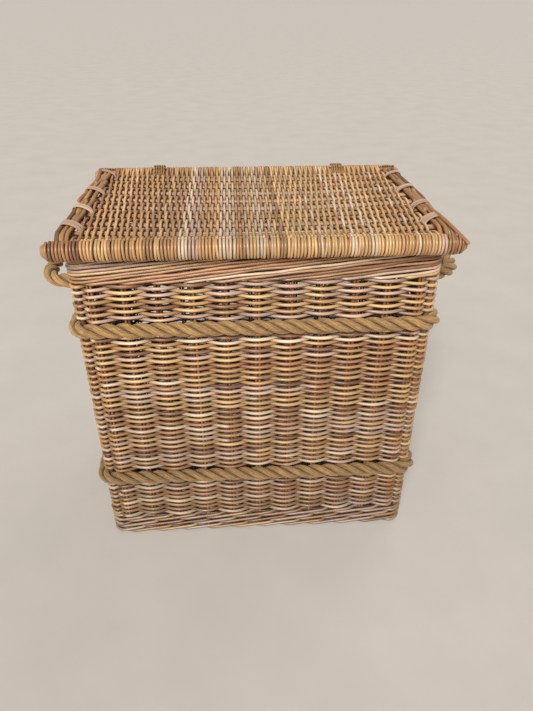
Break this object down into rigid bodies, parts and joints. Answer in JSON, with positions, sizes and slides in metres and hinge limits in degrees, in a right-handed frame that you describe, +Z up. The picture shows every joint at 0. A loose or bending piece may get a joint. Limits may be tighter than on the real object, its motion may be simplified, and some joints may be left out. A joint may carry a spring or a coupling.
{
  "type": "laundry hamper",
  "caption": "Tall rectangular woven rattan hamper with a hinged woven lid, rope hoops round the body and a rope loop handle at each end.",
  "frame": {"origin": "middle of the foot's underside, on the floor", "axes": "+X across the front towards the right-hand handle, +Y from the front to the hinge, +Z up"},
  "size_m": [0.724, 0.4326, 0.6075],
  "materials": {
    "weaving_strand": "natural rattan, satin",
    "border_strand": "natural rattan, satin",
    "stake": "natural rattan, satin",
    "rope": "laid natural fibre, matt",
    "hinge_cord": "laid natural fibre, matt",
    "lid_rod": "natural rattan, satin",
    "lid_strand": "natural rattan, satin",
    "lashing_cane": "split cane, satin"
  },
  "bodies": {
    "hamper": {"foot_border": "border_strand", "base_panel": "weaving_strand", "base_sticks": "stake", "corner_post_front_left": "stake", "corner_post_front_right": "stake", "corner_post_back_left": "stake", "corner_post_back_right": "stake", "stakes_front": "stake", "stakes_back": "stake", "stakes_left": "stake", "stakes_right": "stake", "weave_lower": "weaving_strand", "weave_middle": "weaving_strand", "weave_upper": "weaving_strand", "top_border": "border_strand", "rope_hoop_lower": "rope", "rope_hoop_upper": "rope", "handle_run_left": "rope", "handle_run_right": "rope", "hinge_cord_left": "hinge_cord", "hinge_cord_right": "hinge_cord"},
    "lid": {"lid_front_rod": "lid_rod", "lid_back_rod": "lid_rod", "lid_front_binding": "lid_strand", "lid_back_binding": "lid_strand", "lid_panel": "lid_strand", "lid_sticks": "lid_rod", "lid_rail_left": "lid_rod", "lid_rail_right": "lid_rod", "rail_lashings_left": "lashing_cane", "rail_lashings_right": "lashing_cane"},
    "left_handle": {"handle_left": "rope"},
    "right_handle": {"handle_right": "rope"}
  },
  "joints": [
    {"name": "lid_hinge", "type": "hinge", "parent": "hamper", "child": "lid", "pos_m": [0, 0.195, 0.5862], "axis": [-1, 0, 0], "range_deg": [0, 105]},
    {"name": "left_handle_swing", "type": "hinge", "parent": "hamper", "child": "left_handle", "pos_m": [-0.2933, 0, 0.485], "axis": [0, 1, 0], "range_deg": [-50, 75]},
    {"name": "right_handle_swing", "type": "hinge", "parent": "hamper", "child": "right_handle", "pos_m": [0.2933, 0, 0.485], "axis": [0, -1, 0], "range_deg": [-50, 75]}
  ]
}
